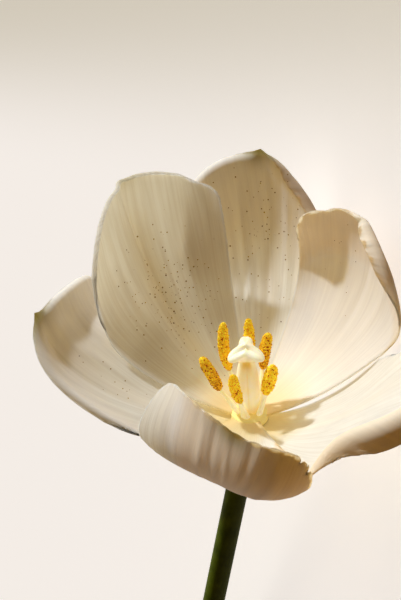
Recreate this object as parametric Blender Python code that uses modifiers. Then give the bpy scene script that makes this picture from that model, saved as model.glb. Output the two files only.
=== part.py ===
"""A white tulip in full bloom on a cut, leafless stalk, lying on a surface.

Six tepals in two whorls of three stand round a short receptacle, with six stamens and a
three-lobed pistil inside them. The flower is modelled about its own axis (+Z), x to the
right and y to the back, in millimetres. One empty then lays the whole flower down.
"""

import math

import bmesh
import bpy
import numpy as np
from mathutils import Euler, Vector

MM = 0.001

# Stalk and receptacle
STALK_LENGTH = 156.0
STALK_RADIUS = 3.15
STALK_LEAN = 12.0            # degrees off the flower's axis, toward -x
RECEPTACLE_RADIUS = 4.15
RECEPTACLE_TOP = 1.8
SEAT_GAP = 0.3

# Tepals
SEAT_RADIUS = 4.6            # where each blade starts, from the axis
SEAT_HALF_WIDTH = 3.5
BLADE_THICKNESS = 0.8
WHORL_OFFSET = 1.1           # outer whorl below, inner whorl above the common bowl
GRID = 18                    # cells along and across a blade
EDGE_BLEND = 30              # samples over which the edge's direction is evened

# Each tepal. Left and right are as seen from inside the flower.
# azimuth, sweep: direction from the axis at the seat, and how far the tip swings aside, degrees
# length, left, right: blade length and half widths; widest_*: where the widest point lies
# round_*: 2 is an elliptic shoulder, less is pointed, more is square
# slope: angle of the midrib above the seat's plane at 0, 1/3, 2/3 and 1 of the length
# cup, skew, curl: inward bend of the two edges, their difference, and its third power
# taper_*: how slender the blade is between seat and widest point
# trim_*: how far the edge is drawn in, and where that ends
# roll_*: radius and depth of the rolled rim, and where it ends
# Places along the edge: 0 is the tip, 1 the widest point, 2 the seat
# notch: depth, place and width of a dip in the rim
TEPALS = {
    "tepal_back": dict(
        whorl=1, azimuth=73.722, sweep=6.629, length=75.071, left=24.235, right=18.774,
        widest_left=0.766, widest_right=0.66, round_left=2.194, round_right=1.391,
        slope=(15, 35, 63, 82), cup=1.8, skew=1.2, curl=-1.402, trim_left=(4.6, 1.2),
        trim_right=(4.6, 1.4),
        roll_left=(2.7, 4.5, 1.35), roll_right=(3.4, 6.0, 1.4), tip_roll=0.6,
    ),
    "tepal_back_left": dict(
        whorl=-1, azimuth=124.819, sweep=0.755, length=77.495, left=23.227, right=26.267,
        widest_left=0.727, widest_right=0.846, round_left=1.539, round_right=1.666,
        slope=(17, 35, 63.5, 88), cup=5.5, skew=-2, curl=5, trim_left=(4.8, 1.0),
        trim_right=(5.0, 0.62),
        roll_left=(1.8, 3.2, 0.95), roll_right=(2.0, 3.4, 0.62), tip_roll=0.6,
    ),
    "tepal_left": dict(
        whorl=1, azimuth=175.384, sweep=-11.416, length=62.403, left=18.077, right=28.961,
        widest_left=0.279, widest_right=0.84, round_left=1.37, round_right=3.876,
        slope=(-4, 20, 34, 85), cup=4.528, skew=5.239, curl=-10.412, trim_left=(3.6, 1.8),
        trim_right=(4.6, 1.3), roll_left=(2.4, 3.6, 0.85), roll_right=(2.5, 4.0, 1.35), tip_roll=0.5,
    ),
    "tepal_front": dict(
        whorl=-1, azimuth=249.882, sweep=15.204, length=75.794, left=20.826, right=27.933,
        widest_left=0.537, widest_right=0.627, round_left=3.034, round_right=2.17,
        slope=(12, 19, 55.5, 88), cup=8.056, skew=20.614, curl=-6.016, trim_left=(0.0, 1.0),
        trim_right=(0.0, 1.0), roll_left=(3.0, 0.0, 1.0), roll_right=(3.0, 0.0, 1.0), tip_roll=0.0,
        notch=(2.6, -0.02, 0.28),
    ),
    "tepal_right": dict(
        whorl=1, azimuth=319.922, sweep=0.3, length=72.588, left=19.0, right=20.981,
        widest_left=0.61, widest_right=0.705, round_left=1.6, round_right=2.393,
        slope=(11, 40.5, 49, 40), cup=-1.0, skew=-6.717, curl=4.0, trim_left=(5.5, 1.2),
        trim_right=(1.5, 2.3), roll_left=(2.6, 4.4, 1.2), roll_right=(6.0, 9.5, 1.2), tip_roll=0.4,
    ),
    "tepal_back_right": dict(
        whorl=-1, azimuth=27.18, sweep=-10.127, length=71.939, left=26.167, right=21.913,
        widest_left=0.771, widest_right=0.736, round_left=1.99, round_right=2.507,
        slope=(19.5, 42.5, 79.5, 105), cup=0.425, skew=-0.262, curl=-3.841, trim_left=(6.2, 0.62),
        trim_right=(6.6, 0.95), roll_left=(1.8, 3.6, 0.62), roll_right=(3.2, 5.2, 0.85), tip_roll=1.0,
    ),
}
FREE_FROM = {"tepal_front": 0.4}          # fraction of the length where a blade leaves the bowl
OWN_SECTOR = {"tepal_front": 0.25}        # share of the bowl's arc that follows one blade alone

# Stamens: azimuth, then radius and height of the anther's foot and of its tip
STAMENS = {
    1: (188.0, 7.6, 10.8, 12.0, 22.4),
    2: (130.0, 7.0, 12.0, 8.4, 27.4),
    3: (78.0, 5.8, 14.0, 6.6, 28.0),
    4: (30.0, 4.9, 13.8, 7.5, 24.7),
    5: (325.0, 5.5, 9.8, 8.2, 20.2),
    6: (245.0, 5.9, 9.2, 9.5, 21.3),
}
ANTHER_HALF_WIDTH = 1.55
ANTHER_HALF_DEPTH = 1.25
FILAMENT_FOOT_RADIUS = 3.1
FILAMENT_HALF_WIDTH = 0.95
FILAMENT_HALF_DEPTH = 0.6

# Pistil
PISTIL_HEIGHT = 24.6
OVARY_RADIUS = 3.1
PISTIL_FOOT_RADIUS = 1.9
STIGMA_RADIUS = 5.0
LOBE_AZIMUTH = 86.0

# How the whole flower lies: turn of its axes and height of its seat above the surface
LIE_TURN = (-37.13, 65.36, -39.79)
LIE_LIFT = (45.84, 5.152, 24.927)


def smooth(x):
    x = np.clip(x, 0.0, 1.0)
    return x * x * (3.0 - 2.0 * x)


def midrib(tepal):
    """Distance along the midrib, and its radius, height and slope there."""
    s = np.linspace(0.0, 1.25, 151)
    knots = np.vander(np.array([0.0, 1 / 3, 2 / 3, 1.0]), 4, increasing=True)
    c = np.linalg.solve(knots, np.array(tepal["slope"], float))
    inner = np.minimum(s, 1.0)
    end_rate = c[1] + 2 * c[2] + 3 * c[3]
    angle = np.radians(c[0] + c[1] * inner + c[2] * inner**2 + c[3] * inner**3
                       + (s - inner) * end_rate)
    middle = 0.5 * (angle[1:] + angle[:-1])
    step = (s[1] - s[0]) * tepal["length"]
    radius = SEAT_RADIUS + np.concatenate([[0.0], np.cumsum(np.cos(middle)) * step])
    height = np.concatenate([[0.0], np.cumsum(np.sin(middle)) * step])
    return s * tepal["length"], radius, height, angle


MIDRIBS = {name: midrib(tepal) for name, tepal in TEPALS.items()}


def sides(tepal, x):
    """Half width, relative height of the widest point and shoulder on the side of x."""
    left = x < 0
    return (np.where(left, tepal["left"], tepal["right"]),
            np.where(left, tepal["widest_left"], tepal["widest_right"]) * tepal["length"],
            np.where(left, tepal["round_left"], tepal["round_right"]))


def flank(tepal, side, v):
    """Relative half width between the seat (v = 0) and the widest point (v = 1)."""
    seat = SEAT_HALF_WIDTH / np.where(side < 0, tepal["left"], tepal["right"])
    taper = np.where(side < 0, tepal.get("taper_left", 1.15), tepal.get("taper_right", 1.15))
    return seat + (1.0 - seat) * np.sin(v * np.pi / 2) ** taper


def outline(tepal, t):
    """Edge of the flat blade: t is 0 at the tip, 1 at the widest point, 2 at the seat."""
    width, widest, shoulder = sides(tepal, t)
    across = np.sin(np.clip(np.abs(t), 0, 1) * np.pi / 2)
    v = np.clip(2.0 - np.abs(t), 0, 1)
    rim = widest + (tepal["length"] - widest) * (1.0 - across**shoulder) ** (1.0 / shoulder)
    deep, place, wide = tepal.get("notch", (0.0, 0.0, 1.0))
    rim = rim - deep * np.exp(-((t - place) / wide) ** 2)
    on_flank = np.abs(t) > 1
    x = np.where(on_flank, flank(tepal, t, v), across) * width * np.sign(t)
    y = np.where(on_flank, v * widest, rim)
    return x, y


def outward(x, y):
    """Unit normals of an edge that runs from the left end of the seat over the tip."""
    dx, dy = np.gradient(x), np.gradient(y)
    length = np.hypot(dx, dy) + 1e-9
    across, along = -dy / length, dx / length
    window = np.hanning(2 * EDGE_BLEND + 1)
    window /= window.sum()
    across = np.convolve(np.pad(across, EDGE_BLEND, mode="edge"), window, mode="valid")
    along = np.convolve(np.pad(along, EDGE_BLEND, mode="edge"), window, mode="valid")
    length = np.hypot(across, along) + 1e-9
    return across / length, along / length


def roll_at(tepal, t):
    """Radius and depth of the rolled rim at t, and how far the edge grows for it."""
    side = np.where(t < 0, 0, 1)
    radius = np.array([tepal["roll_left"][0], tepal["roll_right"][0]])[side]
    depth = np.array([tepal["roll_left"][1], tepal["roll_right"][1]])[side]
    end = np.array([tepal["roll_left"][2], tepal["roll_right"][2]])[side]
    fade = smooth((end - np.abs(t)) / 0.3)
    tip = tepal["tip_roll"] + (1.0 - tepal["tip_roll"]) * smooth(np.abs(t) / 0.3)
    amount = np.array([tepal["trim_left"][0], tepal["trim_right"][0]])[side]
    trim_end = np.array([tepal["trim_left"][1], tepal["trim_right"][1]])[side]
    near_tip = smooth(0.5 + t / 0.2)
    amount = np.where(np.abs(t) < 0.1, tepal["trim_left"][0] * (1 - near_tip)
                      + tepal["trim_right"][0] * near_tip, amount)
    trim = amount * smooth((trim_end - np.abs(t)) / 0.3)
    return radius, depth * fade * tip, depth * fade * tip - trim


def flat_blade(tepal, u, v):
    """Point of the flat blade: u runs across (-1..1), v from the seat to the rim (0..1)."""
    rim_x, rim_y = outline(tepal, u)
    x, y = rim_x * flank(tepal, u, v), rim_y * v
    t = np.linspace(-2.0, 2.0, 801)
    edge_x, edge_y = outline(tepal, t)
    normal_x, normal_y = outward(edge_x, edge_y)
    near = u * (2.0 - v)
    grow = roll_at(tepal, near)[2] * np.maximum(np.abs(u), v) ** 6
    return x + grow * np.interp(near, t, normal_x), y + grow * np.interp(near, t, normal_y)


def rolled(tepal, x, y):
    """The rim turned outward and back: a strip of the blade bent round a small radius."""
    t = np.linspace(-2.0, 2.0, 801)
    edge_x, edge_y = outline(tepal, t)
    normal_x, normal_y = outward(edge_x, edge_y)
    radius, depth, grow = roll_at(tepal, t)
    edge_x, edge_y = edge_x + grow * normal_x, edge_y + grow * normal_y
    normal_x, normal_y = outward(edge_x, edge_y)
    k = np.argmin((x[:, None] - edge_x) ** 2 + (y[:, None] - edge_y) ** 2, axis=1)
    inside = (edge_x[k] - x) * normal_x[k] + (edge_y[k] - y) * normal_y[k]
    arc = np.maximum(depth[k] - inside, 0.0)
    slide = radius[k] * np.sin(arc / radius[k]) - arc
    drop = -radius[k] * (1.0 - np.cos(arc / radius[k]))
    return x + slide * normal_x[k], y + slide * normal_y[k], drop


def bowl_weights(azimuth):
    """Share of each tepal's midrib in the common bowl at an azimuth in degrees."""
    order = sorted(TEPALS, key=lambda name: TEPALS[name]["azimuth"])
    weights = {name: np.zeros_like(azimuth) for name in order}
    for first, second in zip(order, order[1:] + order[:1]):
        start = TEPALS[first]["azimuth"]
        span = (TEPALS[second]["azimuth"] - start) % 360
        way = np.mod(azimuth - start, 360) / span
        own, next_own = OWN_SECTOR.get(first, 0.075), OWN_SECTOR.get(second, 0.075)
        share = smooth((way - own) / (1.0 - own - next_own))
        weights[first] += np.where(way < 1, 1.0 - share, 0.0)
        weights[second] += np.where(way < 1, share, 0.0)
    return weights


def bent_blade(name, x, y, z):
    """Wraps the flat blade round the flower's axis: first in the common bowl, then free."""
    tepal = TEPALS[name]
    along, radius, height, slope = MIDRIBS[name]
    f = y / tepal["length"]
    own = [np.interp(y, along, values) for values in (radius, height, slope)]
    azimuth = tepal["azimuth"] + tepal["sweep"] * np.clip(f, 0, 1.2) ** 1.5 - np.degrees(x / own[0])
    weights = bowl_weights(azimuth)
    bowl = [sum(weights[other] * np.interp(y, MIDRIBS[other][0], MIDRIBS[other][column])
                for other in TEPALS) for column in (1, 2, 3)]
    held = 1.0 - smooth((f - FREE_FROM.get(name, 0.5)) / 0.35)
    r, h, angle = (held * b + (1.0 - held) * o for b, o in zip(bowl, own))
    side = x / sides(tepal, x)[0]
    bend = smooth((f - 0.3) / 0.6) * (tepal["cup"] * side**2 + tepal["skew"] * side
                                      + tepal["curl"] * side**3)
    inward = bend + z - tepal["whorl"] * WHORL_OFFSET
    r = r - np.sin(angle) * inward
    h = h + np.cos(angle) * inward
    azimuth = np.radians(azimuth)
    return np.stack([r * np.cos(azimuth), r * np.sin(azimuth), h], axis=-1)


def material(name, colour, roughness):
    made = bpy.data.materials.new(name)
    made.use_nodes = True
    shader = made.node_tree.nodes["Principled BSDF"]
    shader.inputs["Base Color"].default_value = (*colour, 1.0)
    shader.inputs["Roughness"].default_value = roughness
    shader.inputs["Metallic"].default_value = 0.0
    made.diffuse_color = (*colour, 1.0)
    return made


def add_object(name, data, surface, holder, collection):
    piece = bpy.data.objects.new(name, data)
    data.materials.append(surface)
    collection.objects.link(piece)
    piece.parent = holder
    return piece


def mesh_from(name, bm):
    mesh = bpy.data.meshes.new(name)
    bm.to_mesh(mesh)
    bm.free()
    mesh.shade_smooth()
    return mesh


def make_tepal(name, surface, holder, collection):
    """A grid laid out as the blade, rolled at its rim, wrapped, split and thickened."""
    bm = bmesh.new()
    bmesh.ops.create_grid(bm, x_segments=GRID, y_segments=GRID, size=1.0)
    grid = np.array([vert.co[:2] for vert in bm.verts])
    u = grid[:, 0]
    v = 1.0 - ((1.0 - grid[:, 1]) / 2) ** 1.5
    x, y = flat_blade(TEPALS[name], u, v)
    x, y, z = rolled(TEPALS[name], x, y)
    points = bent_blade(name, x, y, z)
    for vert, point in zip(bm.verts, points):
        vert.co = Vector(point) * MM
    bmesh.ops.triangulate(bm, faces=bm.faces, quad_method="SHORT_EDGE")
    piece = add_object(name, mesh_from(name, bm), surface, holder, collection)
    shell = piece.modifiers.new("thickness", "SOLIDIFY")
    shell.thickness = BLADE_THICKNESS * MM
    shell.offset = 0.0
    return piece


def make_spindle(name, place, sides_round, rings, surface, holder, collection):
    """A ball whose rings are moved to place(s, azimuth), s from 0 at its foot to 1 at its top."""
    bm = bmesh.new()
    bmesh.ops.create_uvsphere(bm, u_segments=sides_round, v_segments=rings, radius=1.0)
    for vert in bm.verts:
        s = 1.0 - math.acos(max(-1.0, min(1.0, vert.co.z))) / math.pi
        pole = math.hypot(vert.co.x, vert.co.y) < 1e-6
        vert.co = Vector(place(s, math.atan2(vert.co.y, vert.co.x), pole)) * MM
    bmesh.ops.recalc_face_normals(bm, faces=bm.faces)
    return add_object(name, mesh_from(name, bm), surface, holder, collection)


def stamen_line(number):
    """Foot of the filament, foot and tip of the anther, and the tangential direction."""
    azimuth, foot_radius, foot_height, tip_radius, tip_height = STAMENS[number]
    out = Vector((math.cos(math.radians(azimuth)), math.sin(math.radians(azimuth)), 0.0))
    up = Vector((0.0, 0.0, 1.0))
    seat = out * FILAMENT_FOOT_RADIUS + up * (RECEPTACLE_TOP + SEAT_GAP)
    foot = out * foot_radius + up * foot_height
    tip = out * tip_radius + up * tip_height
    return seat, foot, tip, out.cross(up)


def make_filament(number, surface, holder, collection):
    seat, foot, tip, tangent = stamen_line(number)
    end = foot - (tip - foot).normalized() * SEAT_GAP
    lean = (end - seat).normalized()
    depth_way = lean.cross(tangent)

    def place(s, turn, pole):
        reach = s if 0 < s < 1 else round(s)
        way = (reach - 0.1) / 0.8
        way = min(1.0, max(0.0, way))
        taper = 1.0 - 0.62 * way ** 1.2
        size = 0.0 if pole else taper
        centre = seat.lerp(end, way)
        return (centre + tangent * (FILAMENT_HALF_WIDTH * size * math.cos(turn))
                + depth_way * (FILAMENT_HALF_DEPTH * size * math.sin(turn)))

    return make_spindle(f"filament_{number}", place, 10, 10, surface, holder, collection)


def make_anther(number, surface, holder, collection):
    _, foot, tip, tangent = stamen_line(number)
    lean = (tip - foot).normalized()
    depth_way = lean.cross(tangent)

    def place(s, turn, pole):
        way = 0.5 - 0.5 * math.cos(math.pi * s)
        body = 0.0 if pole else (1.0 - abs(2.0 * way - 1.0) ** 3.2) ** 0.5
        furrow = 1.0 - 0.22 * math.cos(turn - math.pi / 2) ** 6
        centre = foot.lerp(tip, way)
        return (centre + tangent * (ANTHER_HALF_WIDTH * body * math.cos(turn))
                + depth_way * (ANTHER_HALF_DEPTH * body * furrow * math.sin(turn)))

    return make_spindle(f"anther_{number}", place, 12, 10, surface, holder, collection)


def make_pistil(surface, holder, collection):
    foot = RECEPTACLE_TOP + SEAT_GAP

    def place(s, turn, pole):
        lobe = math.cos(3.0 * (turn - math.radians(LOBE_AZIMUTH)))
        if s < 0.8:
            way = max(0.0, (s - 0.05) / 0.75)
            belly = PISTIL_FOOT_RADIUS + (OVARY_RADIUS - PISTIL_FOOT_RADIUS) * math.sin(
                math.pi * min(1.0, way * 1.25)) ** 0.7
            radius = belly * (1.0 + 0.1 * lobe)
            height = foot + (PISTIL_HEIGHT - 4.0 - foot) * way
        else:
            way = (s - 0.8) / 0.2
            spread = math.sin(math.pi * min(1.0, way * 1.35) * 0.5)
            rim = STIGMA_RADIUS * (0.62 + 0.38 * lobe)
            radius = PISTIL_FOOT_RADIUS + (rim - PISTIL_FOOT_RADIUS) * spread
            radius *= math.sqrt(max(0.0, 1.0 - max(0.0, way - 0.45) ** 2 / 0.3025))
            height = PISTIL_HEIGHT - 4.0 + 4.0 * min(1.0, way * 1.6)
            height -= 2.2 * max(0.0, way - 0.6) / 0.4
        if pole:
            radius = 0.0
            height = foot if s < 0.5 else PISTIL_HEIGHT - 2.2
        return Vector((radius * math.cos(turn), radius * math.sin(turn), height))

    return make_spindle("pistil", place, 24, 24, surface, holder, collection)


def make_stalk(surface, holder, collection):
    """A round rod along the stalk's axis, swelling at its top into the receptacle."""
    lean = math.radians(STALK_LEAN)
    down = Vector((-math.sin(lean), 0.0, -math.cos(lean)))
    bend = Vector((0.0, 0.0, -3.0))
    stations = [RECEPTACLE_TOP, RECEPTACLE_TOP - 0.01, 0.9, 0.0, -1.0, -2.0, -3.0]
    radii = [RECEPTACLE_RADIUS - 0.6, RECEPTACLE_RADIUS - 0.5, RECEPTACLE_RADIUS,
             RECEPTACLE_RADIUS, RECEPTACLE_RADIUS, RECEPTACLE_RADIUS - 0.1,
             RECEPTACLE_RADIUS - 0.3]
    points = [Vector((0.0, 0.0, height)) for height in stations]
    rings = 22
    for ring in range(1, rings + 1):
        run = (STALK_LENGTH + stations[-1]) * (ring / rings) ** 1.3
        points.append(bend + down * run)
        radii.append(STALK_RADIUS + (radii[6] - STALK_RADIUS) * math.exp(-run / 4.0))
    curve = bpy.data.curves.new("stalk", "CURVE")
    curve.dimensions = "3D"
    curve.bevel_depth = MM
    curve.bevel_resolution = 6
    curve.use_fill_caps = True
    curve.twist_mode = "MINIMUM"
    spline = curve.splines.new("POLY")
    spline.points.add(len(points) - 1)
    for knot, point, radius in zip(spline.points, points, radii):
        knot.co = (*(point * MM), 1.0)
        knot.radius = radius
    spline.use_smooth = True
    return add_object("stalk", curve, surface, holder, collection)


def main():
    for old in list(bpy.data.objects):
        bpy.data.objects.remove(old, do_unlink=True)
    collection = bpy.data.collections.new("tulip")
    bpy.context.scene.collection.children.link(collection)
    holder = bpy.data.objects.new("flower", None)
    collection.objects.link(holder)
    holder.rotation_euler = Euler([math.radians(angle) for angle in LIE_TURN])
    holder.location = Vector(LIE_LIFT) * MM
    petal = material("white_petal", (0.85, 0.81, 0.72), 0.55)
    green = material("green_stalk", (0.05, 0.07, 0.008), 0.5)
    cream = material("cream_filament", (0.86, 0.72, 0.38), 0.5)
    pollen = material("golden_pollen", (0.66, 0.36, 0.03), 0.9)
    ovary = material("pale_yellow_pistil", (0.87, 0.74, 0.40), 0.5)
    make_stalk(green, holder, collection)
    for name in TEPALS:
        make_tepal(name, petal, holder, collection)
    for number in STAMENS:
        make_filament(number, cream, holder, collection)
        make_anther(number, pollen, holder, collection)
    make_pistil(ovary, holder, collection)


if __name__ == "__main__":
    main()
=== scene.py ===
"""White tulip in full bloom on a cut stalk, lying on its side on a pale studio floor.

The flower is worked out about its own axis in millimetres: w up the axis, x to the right and
y to the back. One turn and one shift then lay it down in the frame of the solids.
"""
import math

import bpy
import numpy as np
from bpy.props import FloatProperty, FloatVectorProperty, IntProperty, PointerProperty
from mathutils import Euler, Matrix, Vector


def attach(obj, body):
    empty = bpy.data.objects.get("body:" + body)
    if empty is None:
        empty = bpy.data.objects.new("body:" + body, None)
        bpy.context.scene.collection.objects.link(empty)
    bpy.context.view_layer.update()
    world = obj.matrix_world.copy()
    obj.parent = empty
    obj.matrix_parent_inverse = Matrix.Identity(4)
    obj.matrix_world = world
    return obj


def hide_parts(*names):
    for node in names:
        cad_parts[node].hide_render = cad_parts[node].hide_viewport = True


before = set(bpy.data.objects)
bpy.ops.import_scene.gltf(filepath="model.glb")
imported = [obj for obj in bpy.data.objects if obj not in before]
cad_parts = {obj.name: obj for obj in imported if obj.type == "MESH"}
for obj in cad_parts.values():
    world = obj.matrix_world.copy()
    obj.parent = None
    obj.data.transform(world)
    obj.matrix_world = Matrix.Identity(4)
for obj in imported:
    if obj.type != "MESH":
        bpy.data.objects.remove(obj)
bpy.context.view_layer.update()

bl_info = {
    "name": "White Tulip",
    "version": (1, 0, 0),
    "blender": (4, 5, 0),
    "location": "View3D > Sidebar > Tulip",
    "description": "Builds a cut white tulip in full bloom and its studio",
    "category": "Add Mesh",
}

MM = 0.001

# How the flower lies, as in the solids
LIE_TURN = (-37.13, 65.36, -39.79)
LIE_LIFT = (45.84, 5.152, 24.927)

# View of the photograph: elevation of the flower's axis towards the camera, its lean in the
# picture, distance, millimetres a pixel there, and the pixel of the flower's seat
AXIS_RISE = 36.0
AXIS_LEAN = 4.6
VIEW_DISTANCE = 480.0
MM_PER_PIXEL = 0.27
SEAT_PIXEL = (250.0, 416.0)
PICTURE = (401, 600)
SENSOR_WIDTH = 36.0
FAR_CLIP = 20.0

# Ways as parts of the camera's right, up and backward ways: to the key light, to the bright side
# of the room, and to where the floor runs away
KEY_WAY = (-0.57, 0.80, 0.2)
BRIGHT_WAY = (-0.3, 0.5, -0.8)
FLOOR_WAY = (0.315, 1.0, 0.0)
KEY_COLOUR = (0.87, 0.935, 1.0)
# How much of the room is bright: where its brightening starts and ends, 1 being straight at it
BRIGHT_SPAN = (-0.12, 0.9)
# The floor's half width and how far it lies under the flower, in metres
FLOOR_HALF = 2.0
FLOOR_GAP = 0.0002

# Where the blades sit: radius, half width of a blade, the two whorls' distance from the middle
# of both, and the height of the receptacle's top
SEAT_RADIUS = 4.6
SEAT_HALF_WIDTH = 4.4
WHORL_OFFSET = 1.1
RECEPTACLE_TOP = 1.8

# Pairs are for the left and the right side, as seen from inside the flower; lengths in
# millimetres, angles in degrees
# whorl: 1 outer, -1 inner; azimuth: where the midrib starts; sweep: how far it then turns
# width, widest, round: width of each side, where along the blade it is widest, and the power
# of the round toward the tip
# slope: the midrib's rise at 0, 1/3, 2/3 and 1 of the length
# bend: how far the edges bend inward, as square, line and cube across the blade
# trim: how far the edge is drawn in, and where along the edge that ends (0 tip, 1 widest
# point, 2 seat)
# roll: radius and depth of the rolled rim, where it ends, and its greatest turn if it is a fold
# tip_roll: share of the roll that is left at the tip; fade: how long the roll takes to end
# fold_in: how far each rim turns inward (1) instead of outward (0)
# notch: depth, place and half width of the dent in the tip
TEPALS = {
    "tepal_back": dict(
        whorl=1, azimuth=73.722, sweep=6.629, length=75.071, width=(24.235, 18.774),
        widest=(0.766, 0.66), round=(2.194, 1.391), slope=(15, 35, 63, 82),
        bend=(1.8, 1.2, -1.402), trim=((3.6, 1.2), (1.8, 1.4)),
        roll=((1.7, 4.5, 1.35, 110.0), (2.0, 6.4, 0.95, 145.0)), tip_roll=0.5,
        fold_in=(0.0, 1.0)),
    "tepal_back_left": dict(
        whorl=-1, azimuth=124.819, sweep=0.755, length=77.495, width=(23.227, 26.267),
        widest=(0.727, 0.846), round=(1.539, 1.666), slope=(17, 35, 63.5, 88),
        bend=(5.5, -2, 5), trim=((2.3, 1.4), (2.3, 0.8)),
        roll=((0.8, 2.1, 1.2, 112.0), (0.8, 2.1, 0.62, 112.0)), tip_roll=1.0,
        fold_in=(1.0, 1.0)),
    "tepal_left": dict(
        whorl=1, azimuth=175.384, sweep=-11.416, length=62.403, width=(18.077, 28.961),
        widest=(0.279, 0.84), round=(1.37, 3.876), slope=(-4, 20, 34, 85),
        bend=(4.528, 5.239, -10.412), trim=((2.6, 1.8), (3.6, 1.3)),
        roll=((1.4, 3.2, 0.85, 110.0), (1.5, 3.6, 1.35, 110.0)), tip_roll=0.6),
    "tepal_front": dict(
        whorl=-1, azimuth=249.882, sweep=15.204, length=75.794, width=(20.826, 27.933),
        widest=(0.537, 0.627), round=(3.034, 2.17), slope=(12, 19, 55.5, 88),
        bend=(8.056, 20.614, -6.016), trim=((0.0, 1.0), (0.0, 1.0)),
        roll=((3.0, 0.0, 1.0), (3.0, 0.0, 1.0)), tip_roll=0.0, notch=(2.6, -0.02, 0.28)),
    "tepal_right": dict(
        whorl=1, azimuth=319.922, sweep=0.3, length=72.588, width=(19.0, 20.981),
        widest=(0.61, 0.705), round=(1.6, 2.393), slope=(11, 40.5, 49, 40),
        bend=(-1.0, -6.717, 4.0), trim=((5.5, 1.2), (-0.5, 2.3)),
        roll=((2.6, 4.4, 1.2), (3.0, 9.5, 1.5, 115.0)), tip_roll=0.4, fade=0.8),
    "tepal_back_right": dict(
        whorl=-1, azimuth=27.18, sweep=-10.127, length=71.939, width=(26.167, 21.913),
        widest=(0.771, 0.736), round=(1.99, 2.507), slope=(19.5, 42.5, 79.5, 105),
        bend=(0.425, -0.262, -3.841), trim=((3.4, 0.75), (1.7, 1.2)),
        roll=((0.9, 2.4, 0.62, 140.0), (1.8, 5.0, 1.25, 100.0)), tip_roll=0.8,
        fold_in=(1.0, 1.0), fade=0.6),
}
# Lengthwise pleats: place across the blade (-1 to 1) at its foot end and at its tip end, where
# they start and stop along it (0 to 1), half width across, and depth inward
PLEATS = {
    "tepal_back_left": (
        (0.05, -0.07, 0.30, 1.1, 0.035, -0.95), (0.02, -0.16, 0.40, 1.1, 0.04, 0.45),
        (0.12, 0.16, 0.35, 0.95, 0.05, 0.4), (0.30, 0.42, 0.25, 0.9, 0.045, -0.2),
        (0.36, 0.55, 0.30, 0.95, 0.05, 0.2), (-0.20, -0.45, 0.35, 0.9, 0.05, -0.35)),
    "tepal_back": (
        (-0.30, -0.20, 0.20, 0.92, 0.035, -0.55), (-0.24, -0.13, 0.25, 0.92, 0.035, 0.45),
        (-0.02, 0.0, 0.25, 1.1, 0.04, -0.45), (0.22, 0.18, 0.3, 0.9, 0.05, 0.35),
        (-0.5, -0.35, 0.3, 0.95, 0.05, 0.4)),
    "tepal_left": (
        (-0.10, 0.02, 0.30, 1.1, 0.05, -0.5), (0.18, 0.10, 0.35, 1.0, 0.05, 0.5),
        (0.34, 0.24, 0.30, 0.95, 0.05, -0.4), (-0.35, -0.12, 0.4, 1.0, 0.06, 0.4)),
    "tepal_front": (
        (0.12, 0.22, 0.60, 1.1, 0.02, -0.2), (0.03, 0.12, 0.62, 1.1, 0.018, 0.2),
        (-0.05, 0.02, 0.60, 1.1, 0.02, -0.22), (-0.14, -0.13, 0.60, 1.1, 0.025, 0.2),
        (-0.30, -0.32, 0.5, 1.05, 0.05, -0.2), (0.40, 0.52, 0.5, 1.0, 0.06, 0.2)),
    "tepal_right": (
        (0.10, 0.16, 0.25, 1.0, 0.05, -0.4), (-0.25, -0.3, 0.3, 0.95, 0.06, 0.35),
        (0.45, 0.55, 0.3, 0.95, 0.05, 0.35)),
    "tepal_back_right": (
        (0.0, 0.02, 0.3, 1.05, 0.045, -0.5), (0.3, 0.38, 0.35, 0.95, 0.05, 0.4),
        (-0.3, -0.4, 0.4, 0.95, 0.05, -0.3)),
}
# Height of the fine ribs and of the slow waves, and share of all relief on calmer blades
RIB_HEIGHT = 0.022
WAVE_HEIGHT = 0.16
CALM = {"tepal_right": 0.5, "tepal_back_right": 0.5}
# How far the edge wanders, small tears in it (place along it, half width, depth), and the
# blades with a small point at the tip, with the point's length
EDGE_WANDER = 0.09
TEARS = {"tepal_front": ((-0.50, 0.012, 1.1), (-0.57, 0.008, 0.8), (-0.63, 0.014, 1.3))}
POINTED = ("tepal_back", "tepal_left")
POINT_LENGTH = 0.8
# Where shed pollen lies: middle across and along, spread of both, and how thick it lies
POLLEN = {
    "tepal_back_left": (0.12, 0.47, 0.45, 0.2, 1.1), "tepal_back": (0.0, 0.66, 0.4, 0.24, 0.55),
    "tepal_left": (0.35, 0.45, 0.4, 0.2, 0.3), "tepal_back_right": (-0.3, 0.75, 0.5, 0.15, 0.12),
}
# Where along it a blade starts to leave the bowl that all share, and how much of the way round
# to the next blade has the blade's own slope; REST holds for the blades that are not named
FREE_FROM = {"tepal_front": 0.4}
FREE_FROM_REST = 0.5
OWN_SECTOR = {"tepal_front": 0.25}
OWN_SECTOR_REST = 0.075
# Painted light and shade, drawn as thick brownish tissue, 0 to 1: all over, toward the tip,
# and in the right fold. Where it is high a blade passes less and browner light, which darkens
# the tips and folds that lie in shade; all over tepal_back_right it also brightens the lit face
PAINTED_LIGHT_ALL = {"tepal_back_right": 0.6}
PAINTED_SHADE_TIP = {"tepal_back": 0.7, "tepal_left": 0.7, "tepal_back_right": 0.9}
PAINTED_SHADE_FOLD = ("tepal_back", "tepal_right", "tepal_back_right")
GREEN_TIP = {"tepal_back": 0.9, "tepal_left": 0.9, "tepal_front": 0.9}
GREEN_TIP_REST = 0.3

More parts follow.
